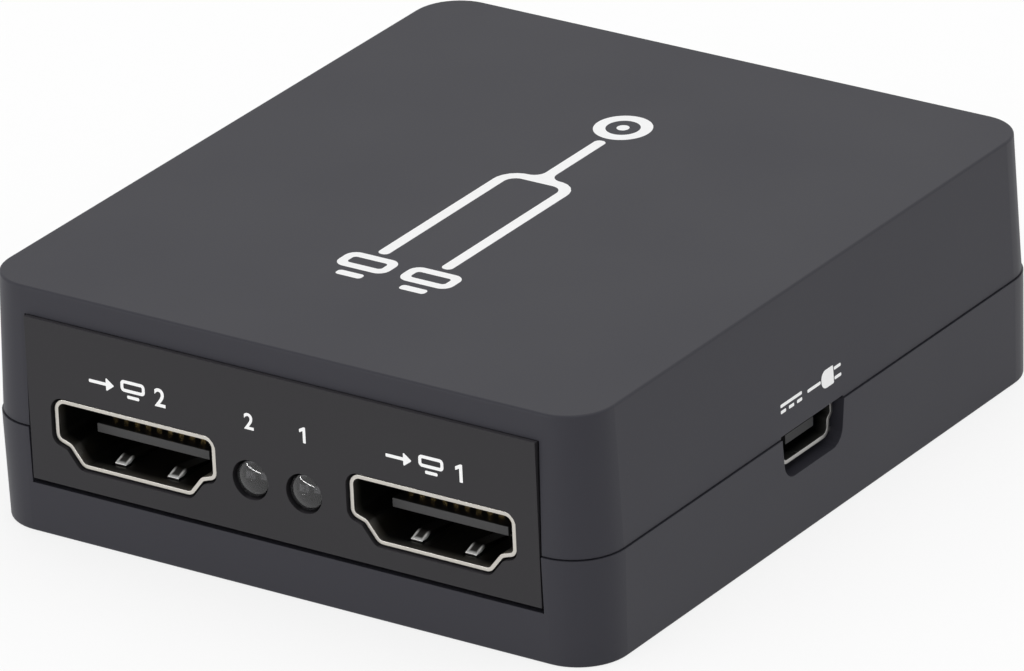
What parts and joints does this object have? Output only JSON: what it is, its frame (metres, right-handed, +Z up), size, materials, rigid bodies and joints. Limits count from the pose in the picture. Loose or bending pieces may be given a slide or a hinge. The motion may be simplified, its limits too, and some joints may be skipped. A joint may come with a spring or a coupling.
{
  "type": "video splitter",
  "caption": "Flat desk box with rounded corners that shares a video source between screens, with receptacles in its end panels, a power socket in a side wall and front indicator lamps.",
  "frame": {"origin": "centre of the base, on the surface that the box stands on", "axes": "+Z up, -Y out of the front panel with the outputs, +X out of the wall with the power socket"},
  "size_m": [0.055, 0.062, 0.02],
  "materials": {
    "case": "fine satin grain, mid grey",
    "panel": "fine matt grain, darker grey",
    "screw_steel": "zinc plated",
    "board": "dark solder mask",
    "nickel": "nickel plated sheet",
    "insulator": "black glass-filled plastic",
    "contact_gold": "gold flashed strip",
    "lens": "smoky cast epoxy",
    "tin": "tin plated",
    "chip": "moulded epoxy",
    "ferrite": "sintered ferrite",
    "can": "drawn can",
    "ceramic": "fired ceramic with tinned ends"
  },
  "bodies": {
    "root": {"top_cover": "case", "bottom_cover": "case", "front_panel": "panel", "rear_panel": "panel", "case_screws": "screw_steel", "main_board": "board", "output_1_shell": "nickel", "output_2_shell": "nickel", "input_shell": "nickel", "power_shell": "nickel", "output_1_insulator": "insulator", "output_2_insulator": "insulator", "input_insulator": "insulator", "power_insulator": "insulator", "output_1_contacts": "contact_gold", "output_2_contacts": "contact_gold", "input_contacts": "contact_gold", "power_contacts": "contact_gold", "indicator_1_lens": "lens", "indicator_2_lens": "lens", "indicator_1_leads": "tin", "indicator_2_leads": "tin", "splitter_chip_leads": "tin", "memory_chip_leads": "tin", "regulator_leads": "tin", "splitter_chip_body": "chip", "memory_chip_body": "chip", "regulator_body": "chip", "surge_arrays": "chip", "chip_resistors": "chip", "power_inductor": "ferrite", "crystal": "can", "filter_capacitors": "can", "chip_capacitors": "ceramic"}
  },
  "joints": []
}
